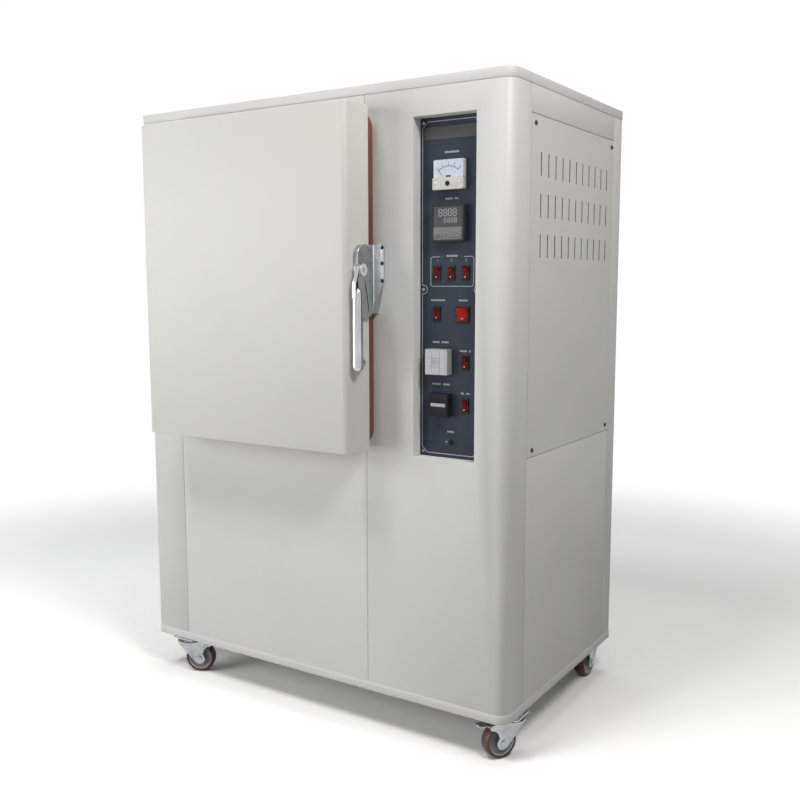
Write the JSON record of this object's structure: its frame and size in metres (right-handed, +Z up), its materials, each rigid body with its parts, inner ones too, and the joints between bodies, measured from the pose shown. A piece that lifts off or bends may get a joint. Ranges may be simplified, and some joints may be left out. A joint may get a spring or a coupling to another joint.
{
  "type": "uv aging test chamber",
  "caption": "Floor-standing UV aging test chamber: sheet-metal cabinet on casters with an insulated side-hinged door, pull latch and recessed control panel.",
  "frame": {"origin": "on the floor, below the middle of the whole outline", "axes": "+X to the right seen from the front, +Y to the back, +Z up"},
  "size_m": [0.977, 0.6848, 1.36],
  "materials": {
    "painted_panel": "off-white powder coat, fine texture",
    "stainless": "brushed stainless sheet",
    "lamp_glass": "frosted reflector bulb and white ceramic socket",
    "panel_face": "dark blue-grey satin film",
    "meter_case": "clear and cream meter front",
    "black_case": "black moulded plastic",
    "pale_case": "light grey moulded plastic",
    "plated_steel": "bright nickel plate",
    "chrome_plate": "polished chrome on a casting",
    "zinc_steel": "bright zinc plate",
    "silicone_seal": "red-brown silicone rubber",
    "lock_metal": "satin nickel lock face",
    "red_rocker": "translucent red rocker",
    "caster_tyre": "maroon polyurethane tread on a grey hub"
  },
  "bodies": {
    "cabinet": {"base_tray": "painted_panel", "left_side_panel": "painted_panel", "front_panel": "painted_panel", "control_column": "painted_panel", "right_side_skin": "painted_panel", "vent_cover": "painted_panel", "rear_panel": "painted_panel", "top_cap": "painted_panel", "chamber_liner": "stainless", "uv_lamp": "lamp_glass", "specimen_turntable": "stainless", "control_plate": "panel_face", "ammeter": "meter_case", "temperature_controller": "black_case", "test_timer": "pale_case", "hour_meter": "black_case", "fuse_holder": "black_case", "switch_bezels": "black_case", "hinge_brackets": "plated_steel", "latch_keeper": "chrome_plate", "caster_plates": "zinc_steel"},
    "door": {"door_shell": "painted_panel", "door_inner_panel": "stainless", "door_gasket": "silicone_seal", "hinge_leaves": "plated_steel", "latch_base": "chrome_plate", "key_lock": "lock_metal"},
    "latch_lever": {"latch_lever": "chrome_plate"},
    "heater_rocker_1": {"heater_rocker_1": "red_rocker"},
    "heater_rocker_2": {"heater_rocker_2": "red_rocker"},
    "heater_rocker_3": {"heater_rocker_3": "red_rocker"},
    "rotation_rocker": {"rotation_rocker": "red_rocker"},
    "power_rocker": {"power_rocker": "red_rocker"},
    "timer_rocker": {"timer_rocker": "red_rocker"},
    "meter_rocker": {"meter_rocker": "red_rocker"},
    "front_left_fork": {"front_left_fork": "zinc_steel"},
    "front_left_wheel": {"front_left_wheel": "caster_tyre"},
    "front_right_fork": {"front_right_fork": "zinc_steel"},
    "front_right_wheel": {"front_right_wheel": "caster_tyre"},
    "rear_left_fork": {"rear_left_fork": "zinc_steel"},
    "rear_left_wheel": {"rear_left_wheel": "caster_tyre"},
    "rear_right_fork": {"rear_right_fork": "zinc_steel"},
    "rear_right_wheel": {"rear_right_wheel": "caster_tyre"},
    "brake_pedal": {"front_right_brake_pedal": "zinc_steel"}
  },
  "joints": [
    {"name": "door_hinge", "type": "hinge", "parent": "cabinet", "child": "door", "pos_m": [-0.4075, -0.279, 0.99], "axis": [0, 0, -1], "range_deg": [0, 110]},
    {"name": "latch_pull", "type": "hinge", "parent": "door", "child": "latch_lever", "pos_m": [0.1893, -0.313, 0.991], "axis": [-1, 0, 0], "range_deg": [0, 45]},
    {"name": "heater_switch_1", "type": "hinge", "parent": "cabinet", "child": "heater_rocker_1", "pos_m": [0.304, -0.212, 0.985], "axis": [-1, 0, 0], "range_deg": [0, 14]},
    {"name": "heater_switch_2", "type": "hinge", "parent": "cabinet", "child": "heater_rocker_2", "pos_m": [0.3365, -0.212, 0.985], "axis": [-1, 0, 0], "range_deg": [0, 14]},
    {"name": "heater_switch_3", "type": "hinge", "parent": "cabinet", "child": "heater_rocker_3", "pos_m": [0.369, -0.212, 0.985], "axis": [-1, 0, 0], "range_deg": [0, 14]},
    {"name": "rotation_switch", "type": "hinge", "parent": "cabinet", "child": "rotation_rocker", "pos_m": [0.304, -0.212, 0.9045], "axis": [-1, 0, 0], "range_deg": [0, 14]},
    {"name": "power_switch", "type": "hinge", "parent": "cabinet", "child": "power_rocker", "pos_m": [0.363, -0.212, 0.9045], "axis": [-1, 0, 0], "range_deg": [0, 14]},
    {"name": "timer_switch", "type": "hinge", "parent": "cabinet", "child": "timer_rocker", "pos_m": [0.369, -0.212, 0.809], "axis": [-1, 0, 0], "range_deg": [0, 14]},
    {"name": "meter_switch", "type": "hinge", "parent": "cabinet", "child": "meter_rocker", "pos_m": [0.369, -0.212, 0.723], "axis": [-1, 0, 0], "range_deg": [0, 14]},
    {"name": "front_left_swivel", "type": "hinge", "parent": "cabinet", "child": "front_left_fork", "pos_m": [-0.4085, -0.217, 0.07], "axis": [0, 0, 1], "continuous": true},
    {"name": "front_left_roll", "type": "hinge", "parent": "front_left_fork", "child": "front_left_wheel", "pos_m": [-0.38554, -0.20479, 0.036], "axis": [-0.4695, 0.8829, 0], "continuous": true},
    {"name": "front_right_swivel", "type": "hinge", "parent": "cabinet", "child": "front_right_fork", "pos_m": [0.4565, -0.173, 0.07], "axis": [0, 0, 1], "continuous": true},
    {"name": "front_right_roll", "type": "hinge", "parent": "front_right_fork", "child": "front_right_wheel", "pos_m": [0.44272, -0.19505, 0.036], "axis": [0.848, -0.5299, 0], "continuous": true},
    {"name": "rear_left_swivel", "type": "hinge", "parent": "cabinet", "child": "rear_left_fork", "pos_m": [-0.4085, 0.311, 0.07], "axis": [0, 0, 1], "continuous": true},
    {"name": "rear_left_roll", "type": "hinge", "parent": "rear_left_fork", "child": "rear_left_wheel", "pos_m": [-0.38339, 0.31773, 0.036], "axis": [-0.2588, 0.9659, 0], "continuous": true},
    {"name": "rear_right_swivel", "type": "hinge", "parent": "cabinet", "child": "rear_right_fork", "pos_m": [0.4365, 0.311, 0.07], "axis": [0, 0, 1], "continuous": true},
    {"name": "rear_right_roll", "type": "hinge", "parent": "rear_right_fork", "child": "rear_right_wheel", "pos_m": [0.4365, 0.285, 0.036], "axis": [1, 0, 0], "continuous": true},
    {"name": "brake_press", "type": "hinge", "parent": "front_right_fork", "child": "brake_pedal", "pos_m": [0.43, -0.2154, 0.072], "axis": [0.848, -0.5299, 0], "range_deg": [0, 12]}
  ]
}
